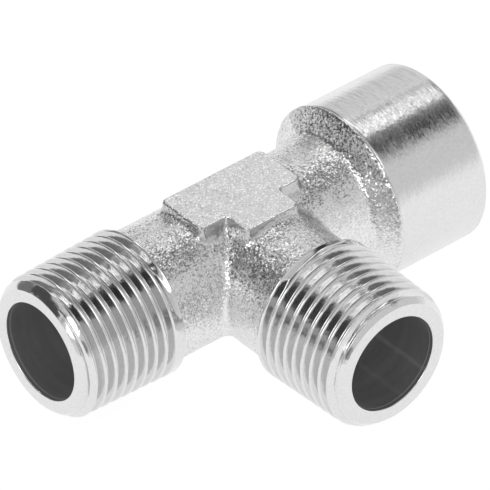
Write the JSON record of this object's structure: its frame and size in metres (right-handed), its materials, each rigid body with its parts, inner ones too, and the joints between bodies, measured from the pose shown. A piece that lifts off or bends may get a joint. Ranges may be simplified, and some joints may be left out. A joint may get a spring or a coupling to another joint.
{
  "type": "pipe tee",
  "caption": "Nickel-plated brass pipe tee with male taper threads on one run end and on the branch, a female threaded socket on the other run end, and a flat wrench pad.",
  "frame": {"origin": "where the axes of the three ports meet, inside the tee", "axes": "+X along the run towards the female socket, -Y along the male branch, +Z out of the wrench pad"},
  "size_m": [0.0545, 0.0365, 0.0212],
  "materials": {
    "forged_nickel": "satin, as-forged and blasted, nickel-plated",
    "machined_nickel": "bright, thread-cut, nickel-plated",
    "turned_nickel": "bright, turned with fine tool rings, nickel-plated"
  },
  "bodies": {
    "root": {"forged_body": "forged_nickel", "run_male_end": "machined_nickel", "branch_male_end": "machined_nickel", "female_socket_end": "turned_nickel"}
  },
  "joints": []
}
